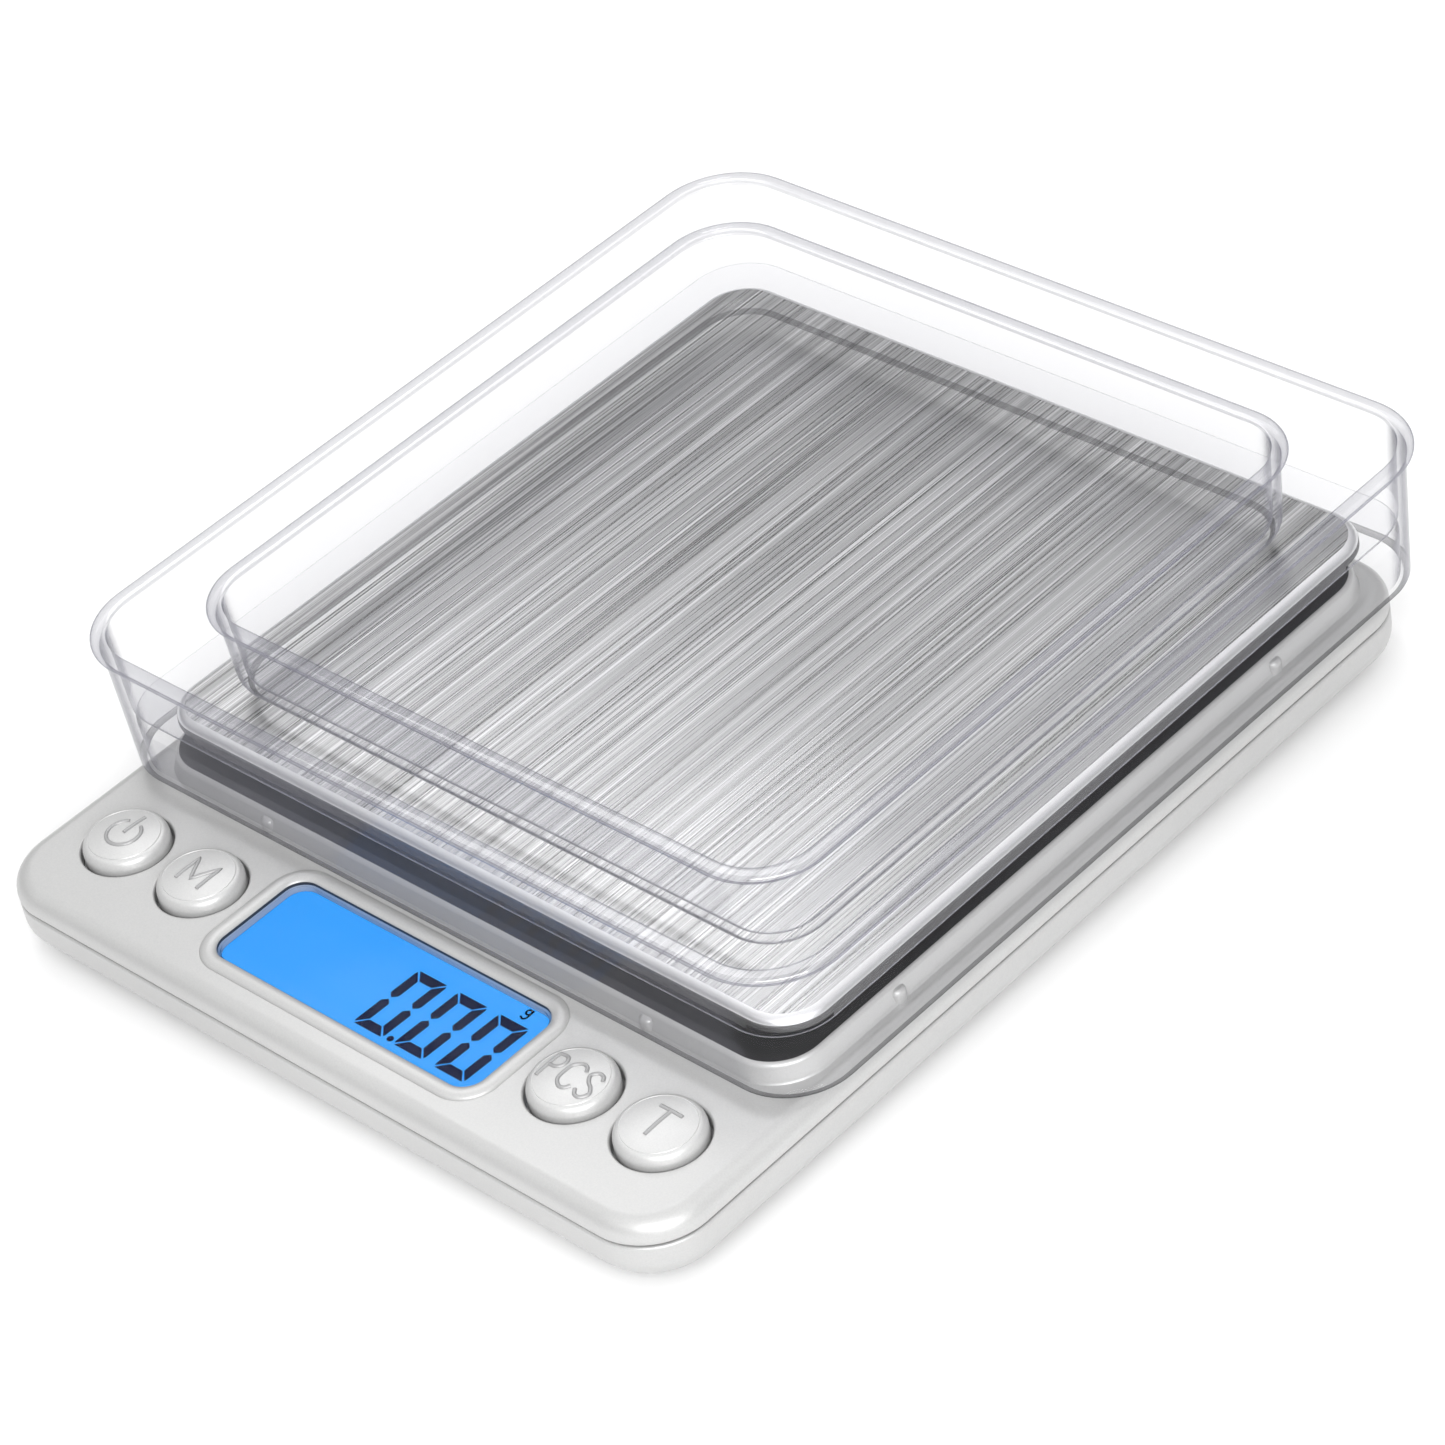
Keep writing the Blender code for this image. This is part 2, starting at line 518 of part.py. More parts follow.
def build_leads():
    """Leads run along the casing's floor from the battery bay and the load cell to the board's rear edge."""
    low, board = 3.4, 5.0
    first, second = BAY_Y - CELL_PITCH / 2, BAY_Y + CELL_PITCH / 2
    routes = {
        "battery_lead_red": ([(-25.2, first, 9.6), (-29, first, 9.2), (-33, 26, 6), (-34, 14, low),
                              (-34, -12, low), (-33, -32, 3.8), (-31, -38.1, board)], WIRE_RED),
        "battery_lead_black": ([(-25.2, second, 9.6), (-30, second, 9.0), (-36, 36, 6), (-37, 20, low),
                                (-37, -10, low), (-36, -24, low), (-33.5, -33, 5.2),
                                (-28.5, -38.1, board + 0.3)], WIRE_BLACK),
        "load_cell_lead_white": ([(-25.6, 14.4, 7.4), (-28.4, 13, 6.8), (-30, 2, low), (-28, -18, low),
                                  (-25, -32, 3.8), (-24, -38.1, board)], WIRE_WHITE),
        "load_cell_lead_green": ([(-25.6, 9.8, 7.4), (-27.2, 7, 6.0), (-27.2, -4, low), (-24, -20, low),
                                  (-21, -32, 3.8), (-20, -38.1, board)], WIRE_GREEN),
    }
    for name, (route, look) in routes.items():
        wire(name, smooth_route(route), 0.45, look)


build_bottom_casing()
build_top_casing()
build_fasteners()
build_feet_and_door()
build_display()
build_board()
build_buttons()
build_load_cell()
build_platform()
build_large_tray()
build_small_tray()
build_batteries()
build_leads()
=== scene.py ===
"""Finished look of the digital gram scale: fine skins over the CAD frame, materials, light, floor and camera.

Lengths below are millimetres in the casing's own frame; at() turns them into metres in the CAD's frame.
"""

import json
import math

import bpy
from mathutils import Matrix, Vector


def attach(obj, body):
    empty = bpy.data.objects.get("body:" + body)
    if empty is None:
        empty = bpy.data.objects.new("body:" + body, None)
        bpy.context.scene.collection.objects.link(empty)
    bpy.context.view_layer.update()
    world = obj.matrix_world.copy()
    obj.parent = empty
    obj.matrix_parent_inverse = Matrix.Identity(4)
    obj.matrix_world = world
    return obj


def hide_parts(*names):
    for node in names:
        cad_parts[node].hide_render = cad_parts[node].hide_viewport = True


MM = 0.001
FRAME_SHIFT_Y = 2.1
STEPS = 14

# Casing
BODY = (106.0, 128.0, 8.0)
PLINTH = (94.0, 116.0, 5.0)
PLINTH_Z = 1.0
SIDE_Z = 2.3
FLOOR_Z = 2.4
LEDGE_Z = 4.1
SEAM_Z = 7.6
GAP = 0.3
DECK_Z = 10.7
WALL = 1.8
LIP_Z = 8.6
SEAM_R = 0.35
SIDE_R = 3.0
PLINTH_R = 0.4
SHOULDER_R = 2.2
PLATEAU = (100.6, 102.2, 6.9)
PLATEAU_Y = 10.5
PLATEAU_Z = 13.1
PLATEAU_R = 0.7
BUMP = (2.0, 2.0, 0.9)
BUMP_X = (-30.0, 30.0)
BUMP_Y = (-22.0, 42.0)
BUMP_INSET = 0.75
BOSS_OPENING = (18.0, 14.0, 2.0)
BOSS_X = 16.0
CELL_SEAT = (15.0, 12.0)
CELL_SEAT_X = -16.0
BAY = (50.4, 23.0)
BAY_Y = 36.0
BAY_OPENING = (46.8, 20.4)
BAY_TOP = 12.0
BAY_WALL_TOP = 11.2
POCKET_TOP = 12.5
DOOR_RECESS = (50.6, 22.4)
DOOR_RECESS_TOP = 2.1
FEET = [(x, y) for x in (-41.0, 41.0) for y in (-50.0, 43.0)]
CASING_SCREWS = [(x, y) for x in (-42.0, 42.0) for y in (-32.0, 55.0)]
BASE_SCREWS = [(-19.0, 12.0), (-13.0, 12.0)]

# Front panel
PANEL_Y = -51.2
WINDOW = (41.4, 14.4, 2.6)
BEZEL_W = 2.0
BEZEL_H = 0.5
LCD_TOP = 9.7
PANE_TOP = 10.5
BUTTONS = {"power": -42.4, "mode": -29.6, "count": 29.6, "tare": 42.4}
BUTTON_R = 5.1
HOLE_R = 5.45
HOLE_EDGE = 0.3
BUTTON_TOP = 12.5
CAP_Z = 7.7
DOME_R = 4.2
DOME_DROP = 0.36
LEGEND_PEN = 0.25

# Digits on the display
DIGIT_W = 4.65
DIGIT_H = 9.85
DIGIT_LEFTS = (0.9, 7.2, 13.5)
DIGIT_FOOT_Y = -56.75
BAR = 1.25
SLIT = 0.13
SLANT = 0.035
POINT = (6.45, -56.35)
POINT_R = 0.42
UNIT = (16.47, -44.95)
UNIT_BOWL = (0.33, 0.36)
UNIT_PEN = 0.11
INK_RISE = (0.02, 0.05)

# Platform and trays
CELL_Y = 12.0
PLATFORM = (100.0, 100.0, 6.0)
PLATFORM_TOP = 18.0
FLANGE_Z = 15.7
SHEET = 0.6
PLATE_ROLL = 1.3
NOTCH = (10.0, 10.0)
NOTCH_TOP = 16.4
LARGE_RIM = 112.4
LARGE_FOOT = 109.0
LARGE_TOP = 30.2
SKIRT_Z = 12.0
SMALL_RIM = 92.2
SMALL_FLOOR = 89.0
SMALL_TOP = 31.9
TRAY_WALL = 1.1
TRAY_LIP = 0.9
LIP_RINGS = 15

# Camera
TURN = 50.34
HEIGHT = 38.43
ROLL = -11.76
DISTANCE = 0.56183
LOOK_AT = (0.00184, -0.00037, 0.0106)
LENS = 123.3


def at(x, y, z):
    return Vector((x, y - FRAME_SHIFT_Y, z)) * MM


# ---------------------------------------------------------------- meshes

def mesh_piece(name, points, faces):
    mesh = bpy.data.meshes.new(name)
    mesh.from_pydata(points, [], faces)
    mesh.validate()
    obj = bpy.data.objects.new(name, mesh)
    bpy.context.scene.collection.objects.link(obj)
    return obj


def outline(width, depth, radius, z, centre):
    """Points round an upright rounded rectangle, as many at each corner whatever its radius."""
    cx, cy = centre
    radius = max(radius, 0.02)
    points = []
    for quarter, (sx, sy) in enumerate(((1, 1), (-1, 1), (-1, -1), (1, -1))):
        for i in range(STEPS + 1):
            angle = math.radians(90 * (quarter + i / STEPS))
            points.append(at(cx + sx * (width / 2 - radius) + radius * math.cos(angle),
                             cy + sy * (depth / 2 - radius) + radius * math.sin(angle), z))
    return points


def bridged(name, rings):
    """A solid between rings of equal length, anticlockwise from above, the first one's cap facing down."""
    count = len(rings[0])
    faces = []
    for k in range(len(rings) - 1):
        low, high = k * count, (k + 1) * count
        faces += [(low + i, low + (i + 1) % count, high + (i + 1) % count, high + i) for i in range(count)]
    faces.append(tuple(reversed(range(count))))
    faces.append(tuple(range((len(rings) - 1) * count, len(rings) * count)))
    return mesh_piece(name, [p for ring in rings for p in ring], faces)


def lofted(name, base, profile, centre=(0.0, 0.0)):
    """A solid that stacks the base outline, drawn in by each (inset, z) pair."""
    width, depth, radius = base
    return bridged(name, [outline(width - 2 * inset, depth - 2 * inset, radius - inset, z, centre)
                          for inset, z in profile])


def turned(name, x, y, profile, steps=72):
    """A solid of revolution about an upright axis, from (radius, z) pairs that rise up its outer side."""
    rings = [[at(x + r * math.cos(2 * math.pi * i / steps), y + r * math.sin(2 * math.pi * i / steps), z)
              for i in range(steps)] for r, z in profile]
    return bridged(name, rings)


def prism(name, points, low, high):
    """A flat plate with the given anticlockwise outline."""
    return bridged(name, [[at(x, y, z) for x, y in points] for z in (low, high)])


def box(name, size, centre, low, high):
    return lofted(name, (*size, 0.3), [(0, low), (0, high)], centre)


def arc(centre, radius, start, end, steps=8):
    """(inset, z) points of an arc; angles in degrees, 0 towards a larger inset and 90 up."""
    angles = [math.radians(start + (end - start) * i / steps) for i in range(steps + 1)]
    return [(centre[0] + radius * math.cos(a), centre[1] + radius * math.sin(a)) for a in angles]


def mark(obj, look, chosen):
    """Gives the chosen polygons a further material."""
    obj.data.materials.append(LOOKS[look])
    index = len(obj.data.materials) - 1
    for polygon in obj.data.polygons:
        if chosen(polygon):
            polygon.material_index = index


def between(first, last):
    """Picks the polygons of a loft from one ring to another."""
    count = 4 * (STEPS + 1)
    return lambda polygon: len(polygon.vertices) == 4 and first * count <= polygon.index < last * count


def combine(target, others, operation):
    """Joins the other solids to the target or cuts them out of it, and removes them."""
    for other in others:
        modifier = target.modifiers.new(other.name, "BOOLEAN")
        modifier.operation = operation
        modifier.solver = "EXACT"
        modifier.object = other
    bpy.context.view_layer.update()
    evaluated = target.evaluated_get(bpy.context.evaluated_depsgraph_get())
    mesh = bpy.data.meshes.new_from_object(evaluated)
    target.modifiers.clear()
    target.data = mesh
    for other in others:
        bpy.data.objects.remove(other, do_unlink=True)


def join(target, *others):
    combine(target, others, "UNION")


def cut(target, *others):
    combine(target, others, "DIFFERENCE")


def soften(obj, angle=32):
    """Smooth shading with crisp creases, and flat faces that stay flat beside rounded edges."""
    obj.data.shade_smooth()
    obj.data.set_sharp_from_angle(angle=math.radians(angle))
    weighted = obj.modifiers.new("shading", "WEIGHTED_NORMAL")
    weighted.keep_sharp = True
    return obj


def stroke(name, runs, radius):
    """Round-ended raised strokes through runs of points, as one mesh."""
    curve = bpy.data.curves.new(name, "CURVE")
    curve.dimensions = "3D"
    curve.bevel_depth = radius * MM
    curve.bevel_resolution = 4
    curve.use_fill_caps = True
    for run in runs:
        spline = curve.splines.new("POLY")
        spline.points.add(len(run) - 1)
        for point, place in zip(spline.points, run):
            point.co = (*at(*place), 1.0)
    drawn = bpy.data.objects.new(name, curve)
    bpy.context.scene.collection.objects.link(drawn)
    bpy.context.view_layer.update()
    mesh = bpy.data.meshes.new_from_object(drawn.evaluated_get(bpy.context.evaluated_depsgraph_get()))
    bpy.data.objects.remove(drawn, do_unlink=True)
    obj = bpy.data.objects.new(name, mesh)
    bpy.context.scene.collection.objects.link(obj)
    mesh.shade_smooth()
    return obj


def curved(points, steps=6):
    """Catmull-Rom points through the given plane points."""
    points = [Vector(p) for p in points]
    ends = [2 * points[0] - points[1], *points, 2 * points[-1] - points[-2]]
    route = []
    for a, b, c, d in zip(ends, ends[1:], ends[2:], ends[3:]):
        for i in range(steps):
            t = i / steps
            route.append(0.5 * (2 * b + (c - a) * t + (2 * a - 5 * b + 4 * c - d) * t**2
                                + (3 * b - a - 3 * c + d) * t**3))
    return [(p.x, p.y) for p in [*route, points[-1]]]


# ---------------------------------------------------------------- casing

def build_top():
    shoulder = arc((SHOULDER_R, DECK_Z - SHOULDER_R), SHOULDER_R, 180, 90, 12)
    seam = arc((SEAM_R, SEAM_Z + GAP + SEAM_R), SEAM_R, 270, 180, 4)
    shell = lofted("top_skin", BODY, seam + shoulder)
    plateau = lofted("plateau", PLATEAU, [(0, DECK_Z - 0.5), (0, DECK_Z)]
                     + [(0.08, DECK_Z + 0.12), (0.2, DECK_Z + 0.3)]
                     + [(inset + 0.55, z) for inset, z in
                        arc((PLATEAU_R, PLATEAU_Z - PLATEAU_R), PLATEAU_R, 180, 90, 8)],
                     (0, PLATEAU_Y))
    turns = [t * math.pi / 16 for t in range(9)]
    rim = [(BEZEL_W / 2 * (1 - math.cos(a)), DECK_Z + BEZEL_H * math.sin(a)) for a in turns]
    bezel_size = (WINDOW[0] + 2 * BEZEL_W, WINDOW[1] + 2 * BEZEL_W, WINDOW[2] + BEZEL_W)
    bezel = lofted("bezel", bezel_size, [(0, DECK_Z - 1)] + rim, (0, PANEL_Y))
    join(shell, plateau, bezel)
    bumps = [(x, PLATEAU_Y - PLATEAU[1] / 2 + BUMP_INSET) for x in BUMP_X]
    bumps += [(side * (PLATEAU[0] / 2 - BUMP_INSET), y) for side in (-1, 1) for y in BUMP_Y]
    for i, place in enumerate(bumps):
        join(shell, lofted(f"bump_{i}", BUMP, [(0, DECK_Z - 0.4), (0, DECK_Z + 1.0)]
                           + arc((0.6, DECK_Z + 1.1), 0.6, 180, 90, 5), place))
    inner = [(WALL, z) for z in (SEAM_Z - 1, DECK_Z - WALL)]
    under = (PLATEAU[0] - 4.4, PLATEAU[1] - 4.4, 5.0)
    hole = [(0, SEAM_Z - 1), (0, PANE_TOP - 0.1), (0, DECK_Z)]
    flare = [(-inset, z) for inset, z in rim[1:]]
    cut(shell, lofted("deck_cavity", BODY, inner),
        lofted("plateau_cavity", under, [(0, SEAM_Z), (0, PLATEAU_Z - 1.6)], (0, PLATEAU_Y)),
        box("battery_pocket", (BAY[0] + 1, BAY[1]), (0, BAY_Y), SEAM_Z, POCKET_TOP),
        lofted("window_hole", WINDOW, hole + flare + [(-BEZEL_W / 2, DECK_Z + 2)], (0, PANEL_Y)),
        lofted("boss_opening", BOSS_OPENING, [(0, SEAM_Z), (0, PLATEAU_Z + 2)], (BOSS_X, CELL_Y)))
    turns = [math.radians(15 * k) for k in range(7)]
    rounding = [(HOLE_R + HOLE_EDGE * (1 - math.cos(a)), DECK_Z - HOLE_EDGE + HOLE_EDGE * math.sin(a))
                for a in turns]
    bore = [(HOLE_R, SEAM_Z - 1)] + rounding + [(HOLE_R + HOLE_EDGE, DECK_Z + 2)]
    for name, x in BUTTONS.items():
        cut(shell, turned(f"hole_{name}", x, PANEL_Y, bore))
    shell.data.materials.clear()
    shell.data.materials.append(LOOKS["silver_casing"])
    # Painted shade: the plateau's flat top under the platform gets a near-black material, standing in for the
    # shadow the platform casts on the silver casing.
    top = PLATEAU_Z * MM
    mark(shell, "painted_shade_under_platform",
         lambda polygon: polygon.normal.z > 0.99 and abs(polygon.center.z - top) < 1e-5)
    # Painted shade: the window opening's wall above the pane is given black plastic.
    mark(shell, "black_plastic", shaded_window_edge)
    return soften(shell)


def shaded_window_edge(polygon):
    """The wall of the window's opening above the pane, which is blackened: painted shade where the casing's
    own silver wall lies in shadow.
    """
    x, y, low = at(0, PANEL_Y, PANE_TOP - 0.15)
    high = (DECK_Z + 0.06) * MM
    near_x = abs(polygon.center.x - x) < (WINDOW[0] / 2 + 0.1) * MM
    near_y = abs(polygon.center.y - y) < (WINDOW[1] / 2 + 0.1) * MM
    return near_x and near_y and low < polygon.center.z < high


def build_bottom():
    side = [(SIDE_R + inset, z) for inset, z in arc((0, SIDE_Z + SIDE_R), SIDE_R, 270, 180, 10)]
    top = arc((SEAM_R, SEAM_Z - SEAM_R), SEAM_R, 180, 90, 4)
    shell = lofted("bottom_skin", BODY, side + top)
    lip = (BODY[0] - 2 * WALL - 2 * GAP, BODY[1] - 2 * WALL - 2 * GAP, 5.9)
    tread = arc((PLINTH_R, PLINTH_Z + PLINTH_R), PLINTH_R, 270, 180, 4)
    join(shell, lofted("plinth", PLINTH, tread + [(0, LEDGE_Z + 0.5)]),
         lofted("lip", lip, [(0, SEAM_Z - 1.2), (0, LIP_Z)]))
    cut(shell, lofted("cavity", BODY, [(WALL, LEDGE_Z), (WALL, SEAM_Z - 0.6)]),
        lofted("floor_pocket", PLINTH, [(1.5, FLOOR_Z), (1.5, LEDGE_Z + 0.6)]),
        lofted("lip_mouth", lip, [(1.2, SEAM_Z - 1.4), (1.2, LIP_Z + 1)]))
    join(shell, box("bay_walls", (BAY[0] + 2.4, BAY[1] + 2.4), (0, BAY_Y), PLINTH_Z + 0.2, BAY_WALL_TOP),
         box("cell_seat", CELL_SEAT, (CELL_SEAT_X, CELL_Y), FLOOR_Z - 0.6, LEDGE_Z))
    cut(shell, box("bay_hollow", BAY, (0, BAY_Y), FLOOR_Z, BAY_TOP),
        box("bay_opening", BAY_OPENING, (0, BAY_Y), PLINTH_Z - 1, FLOOR_Z + 0.5),
        box("door_recess", DOOR_RECESS, (0, BAY_Y), PLINTH_Z - 1, DOOR_RECESS_TOP))
    for i, (x, y) in enumerate(CASING_SCREWS):
        join(shell, turned(f"boss_{i}", x, y, [(3.9, FLOOR_Z - 0.6), (3.9, 5.6)]))
        cut(shell, turned(f"bore_{i}", x, y, [(2.9, 0), (2.9, 3.2), (1.6, 3.2), (1.6, 7)]))
    for i, (x, y) in enumerate(BASE_SCREWS):
        cut(shell, turned(f"base_bore_{i}", x, y, [(2.7, 0), (2.7, 2.9), (1.8, 2.9), (1.8, 6)]))
    for i, (x, y) in enumerate(FEET):
        cut(shell, turned(f"foot_recess_{i}", x, y, [(4.8, 0), (4.8, 1.8)]))
    return soften(shell)


def dome(r):
    """The height of a cap's crown at a distance from its axis."""
    return BUTTON_TOP - DOME_DROP * (r / DOME_R) ** 2


def build_cap(name, x):
    crown = [(r, dome(r)) for r in (0.5, 1.2, 2.0, 2.8, 3.5, 4.0, DOME_R)]
    edge = dome(DOME_R)
    groove = [(DOME_R + 0.05, edge - 0.07), (DOME_R + 0.13, edge - 0.07)]
    side_z = BUTTON_TOP - 1.6
    turns = [math.radians(15 * k) for k in range(7)]
    shoulder = [(DOME_R + 0.16 + 0.74 * math.sin(a), side_z + (edge - side_z - 0.02) * math.cos(a))
                for a in turns]
    skirt = [(6.0, CAP_Z), (6.0, CAP_Z + 0.8), (BUTTON_R, CAP_Z + 0.8)]
    rising = skirt + list(reversed(shoulder)) + list(reversed(groove)) + list(reversed(crown))
    return soften(turned(f"cap_{name}", x, PANEL_Y, rising, 96))


def legend_runs(name):
    """Plane strokes of each button's legend, about the cap's centre."""
    if name == "power":
        turns = [math.radians(a) for a in range(28, 333, 8)]
        ring = [(2.05 * math.sin(a), 2.05 * math.cos(a)) for a in turns]
        return [ring, [(0, 0), (0, 3.3)]]
    if name == "mode":
        return [[(-1.75, -1.9), (-1.75, 1.9), (0, -1.2), (1.75, 1.9), (1.75, -1.9)]]
    if name == "tare":
        return [[(-1.6, 2.0), (1.6, 2.0)], [(0, 2.0), (0, -2.1)]]
    bowl = curved([(-3.4, 1.9), (-2.2, 1.85), (-1.7, 1.0), (-2.2, 0.1), (-3.4, 0.0)])
    open_c = curved([(1.15, 1.2), (0.7, 1.8), (0.0, 1.9), (-0.8, 1.2), (-0.95, 0), (-0.8, -1.2), (0, -1.9),
                     (0.7, -1.8), (1.15, -1.2)])
    snake = curved([(3.45, 1.25), (3.0, 1.85), (2.3, 1.85), (1.85, 1.1), (2.35, 0.3), (3.05, -0.2),
                    (3.5, -0.95), (3.0, -1.8), (2.3, -1.85), (1.8, -1.25)])
    return [[(-3.4, -1.9), (-3.4, 1.9)], bowl, open_c, snake]


def build_legend(name, x):
    runs = []
    for run in legend_runs(name):
        dense = []
        for (ax, ay), (bx, by) in zip(run, run[1:]):
            count = max(1, round(math.hypot(bx - ax, by - ay) / 0.5))
            dense += [(ax + (bx - ax) * i / count, ay + (by - ay) * i / count) for i in range(count)]
        dense.append(run[-1])
        runs.append([(x + px, PANEL_Y + py, dome(math.hypot(px, py)) - 0.04) for px, py in dense])
    return stroke(f"legend_{name}", runs, LEGEND_PEN)


# ---------------------------------------------------------------- display

def segments():
    """Outlines of the six lit bars of a zero, anticlockwise from the digit's lower left corner."""
    w, h, t, g = DIGIT_W, DIGIT_H, BAR, SLIT
    mid = h / 2
    top = [(t + g, h - t), (w - t - g, h - t), (w - g - 0.1, h), (g + 0.1, h)]
    left = [(0, mid + 0.7), (t / 2, mid + 0.16), (t, mid + 0.7), (t, h - t - g), (0.1, h - g - 0.12),
            (0, h - g - 0.35)]
    right = [(w - x, y) for x, y in reversed(left)]
    flip = [[(x, h - y) for x, y in reversed(bar)] for bar in (top, left, right)]
    return [top, left, right, *flip]


def build_digits():
    low, high = (LCD_TOP + z for z in INK_RISE)
    pieces = []
    for d, left in enumerate(DIGIT_LEFTS):
        for k, bar in enumerate(segments()):
            placed = [(left + x + SLANT * y, DIGIT_FOOT_Y + y) for x, y in bar]
            pieces.append(prism(f"digit_{d}_{k}", placed, low, high))
    turns = [a * math.pi / 12 for a in range(24)]
    point = [(POINT[0] + POINT_R * math.cos(a), POINT[1] + POINT_R * math.sin(a)) for a in turns]
    pieces.append(prism("point", point, low, high))
    turns = [a * math.pi / 10 for a in range(21)]
    loop = [(UNIT[0] + UNIT_BOWL[0] * math.cos(a), UNIT[1] + UNIT_BOWL[1] * math.sin(a)) for a in turns]
    tail = curved([(16.82, -44.6), (16.82, -45.7), (16.5, -46.05), (16.1, -45.9)], 5)
    for k, run in enumerate((loop, tail)):
        for i, (a, b) in enumerate(zip(run, run[1:])):
            along = (Vector(b) - Vector(a)).normalized() * UNIT_PEN
            side = Vector((along.y, -along.x))
            corners = [Vector(a) - along + side, Vector(b) + along + side, Vector(b) + along - side,
                       Vector(a) - along - side]
            pieces.append(prism(f"unit_{k}_{i}", [tuple(c) for c in corners], low, high))
    points, faces = [], []
    for piece in pieces:
        base = len(points)
        points += [v.co.copy() for v in piece.data.vertices]
        faces += [tuple(base + i for i in p.vertices) for p in piece.data.polygons]
    for piece in pieces:
        bpy.data.objects.remove(piece, do_unlink=True)
    return mesh_piece("lcd_digits", points, faces)


def build_pane():
    size = (WINDOW[0] - 2 * GAP, WINDOW[1] - 2 * GAP, WINDOW[2] - GAP)
    profile = [(0, PANE_TOP - 0.5), (0, PANE_TOP - 0.1), (0.05, PANE_TOP - 0.03), (0.12, PANE_TOP)]
    return soften(lofted("display_pane", size, profile, (0, PANEL_Y)))


# ---------------------------------------------------------------- platform and trays

def build_plate():
    roll = (0, PLATFORM_TOP - PLATE_ROLL)
    inside = [(PLATE_ROLL + inset, z) for inset, z in arc(roll, PLATE_ROLL - SHEET, 90, 180, 8)]
    outside = [(PLATE_ROLL + inset, z) for inset, z in arc(roll, PLATE_ROLL, 180, 90, 12)]
    foot = [(SHEET, FLANGE_Z + 0.1), (SHEET - 0.1, FLANGE_Z), (0.1, FLANGE_Z), (0, FLANGE_Z + 0.1)]
    plate = lofted("steel_plate", PLATFORM, inside + foot + outside, (0, CELL_Y))
    notch = PLATFORM[0] / 2 - 1.5
    for i, (sx, sy) in enumerate(((-1, -1), (1, -1), (1, 1), (-1, 1))):
        cut(plate, box(f"notch_{i}", NOTCH, (sx * notch, CELL_Y + sy * notch), FLANGE_Z - 2, NOTCH_TOP))
    plate.data.materials.append(LOOKS["brushed_platform"])
    rolled = PLATFORM_TOP * MM - 1e-5
    # Lit and shaded copies of one pressed steel: the rolled edge gets a much lighter steel, a painted
    # highlight, and the upright flange a near-black one, painted shade.
    mark(plate, "painted_highlight_edge", lambda polygon: polygon.normal.z < 0.99 or polygon.center.z < rolled)
    mark(plate, "painted_shade_flange", lambda polygon: polygon.normal.z < 0.35)
    layer = plate.data.uv_layers.new(name="sheet")
    for loop in plate.data.loops:
        layer.data[loop.index].uv = plate.data.vertices[loop.vertex_index].co.xy * 10
    return soften(plate)


def drafted(rim, foot, low, high):
    """A function that turns a depth into the wall and a height into a profile point on the leaning wall."""
    wall_top = high - TRAY_WALL
    spread = (rim - 2 * TRAY_LIP - foot) / 2
    return lambda depth, z: (depth + TRAY_LIP + spread * (wall_top - z) / (wall_top - low), z)


def rolled_lip(high):
    """The lip's profile from under its outer edge, round it and over to the wall's inner face."""
    t = TRAY_WALL
    wall_top = high - t
    under = [(TRAY_LIP + 0.1, wall_top - 0.35), (TRAY_LIP - 0.12, wall_top - 0.08)]
    roll = [(t / 2 + inset, z) for inset, z in arc((0, high - t / 2), t / 2, 260, 90, 10)]
    over = [(TRAY_LIP + t - 0.5, high), (TRAY_LIP + t - 0.15, high - 0.12), (TRAY_LIP + t, high - 0.45)]
    return under + roll + over


def edged(tray, first, last, lip):
    """Marks the tray's lower edge and its lip, where light travels a long way through the plastic, with
    darker tinted materials: painted shade for the dark lines seen there.
    """
    tray.data.materials.append(LOOKS["clear_tray"])
    # Painted shade: darker tinted covers along the tray's lower edge and its lip.
    mark(tray, "tray_edge_painted_shade", between(first, last))
    mark(tray, "tray_lip_painted_shade", between(lip, lip + LIP_RINGS))
    return soften(tray, 40)


def build_large_tray():
    """Walls that reach below the floor and drop over the platform."""
    t, fillet, floor = TRAY_WALL, 1.2, PLATFORM_TOP + GAP
    lean = drafted(LARGE_RIM, LARGE_FOOT, SKIRT_Z, LARGE_TOP)
    below = [lean(t + 0.5, floor), lean(t + 0.15, floor - 0.15), lean(t, floor - 0.5)]
    foot = [lean(t, SKIRT_Z + 0.3), lean(t - 0.3, SKIRT_Z), lean(0.35, SKIRT_Z), lean(0.1, SKIRT_Z + 0.1),
            lean(0, SKIRT_Z + 0.35)]
    inner = [lean(t + fillet + inset, z) for inset, z in arc((0, floor + t + fillet), fillet, 180, 270, 8)]
    tray = lofted("large_tray_moulding", (LARGE_RIM, LARGE_RIM, 9.9),
                  below + foot + rolled_lip(LARGE_TOP) + inner, (0, CELL_Y))
    return edged(tray, len(below) + 1, len(below) + len(foot) - 1, len(below) + len(foot))


def build_small_tray():
    t, fillet = TRAY_WALL, 3.0
    low = PLATFORM_TOP + 2 * GAP + t
    lean = drafted(SMALL_RIM, SMALL_FLOOR, low, SMALL_TOP)
    outer = [lean(fillet + inset, z) for inset, z in arc((0, low + fillet), fillet, 270, 180, 12)]
    inner = [lean(fillet + inset, z) for inset, z in arc((0, low + fillet), fillet - t, 180, 270, 12)]
    tray = lofted("small_tray_moulding", (SMALL_RIM, SMALL_RIM, 8.9), outer + rolled_lip(SMALL_TOP) + inner,
                  (0, CELL_Y))
    return edged(tray, 4, 6, len(outer))


# ---------------------------------------------------------------- materials

def colour_ramp(tree, stops):
    """A colour ramp node through the given (place, colour) stops."""
    ramp = tree.nodes.new("ShaderNodeValToRGB")
    while len(ramp.color_ramp.elements) < len(stops):
        ramp.color_ramp.elements.new(0.5)
    for element, (place, colour) in zip(ramp.color_ramp.elements, stops):
        element.position = place
        element.color = (*colour, 1.0)
    return ramp


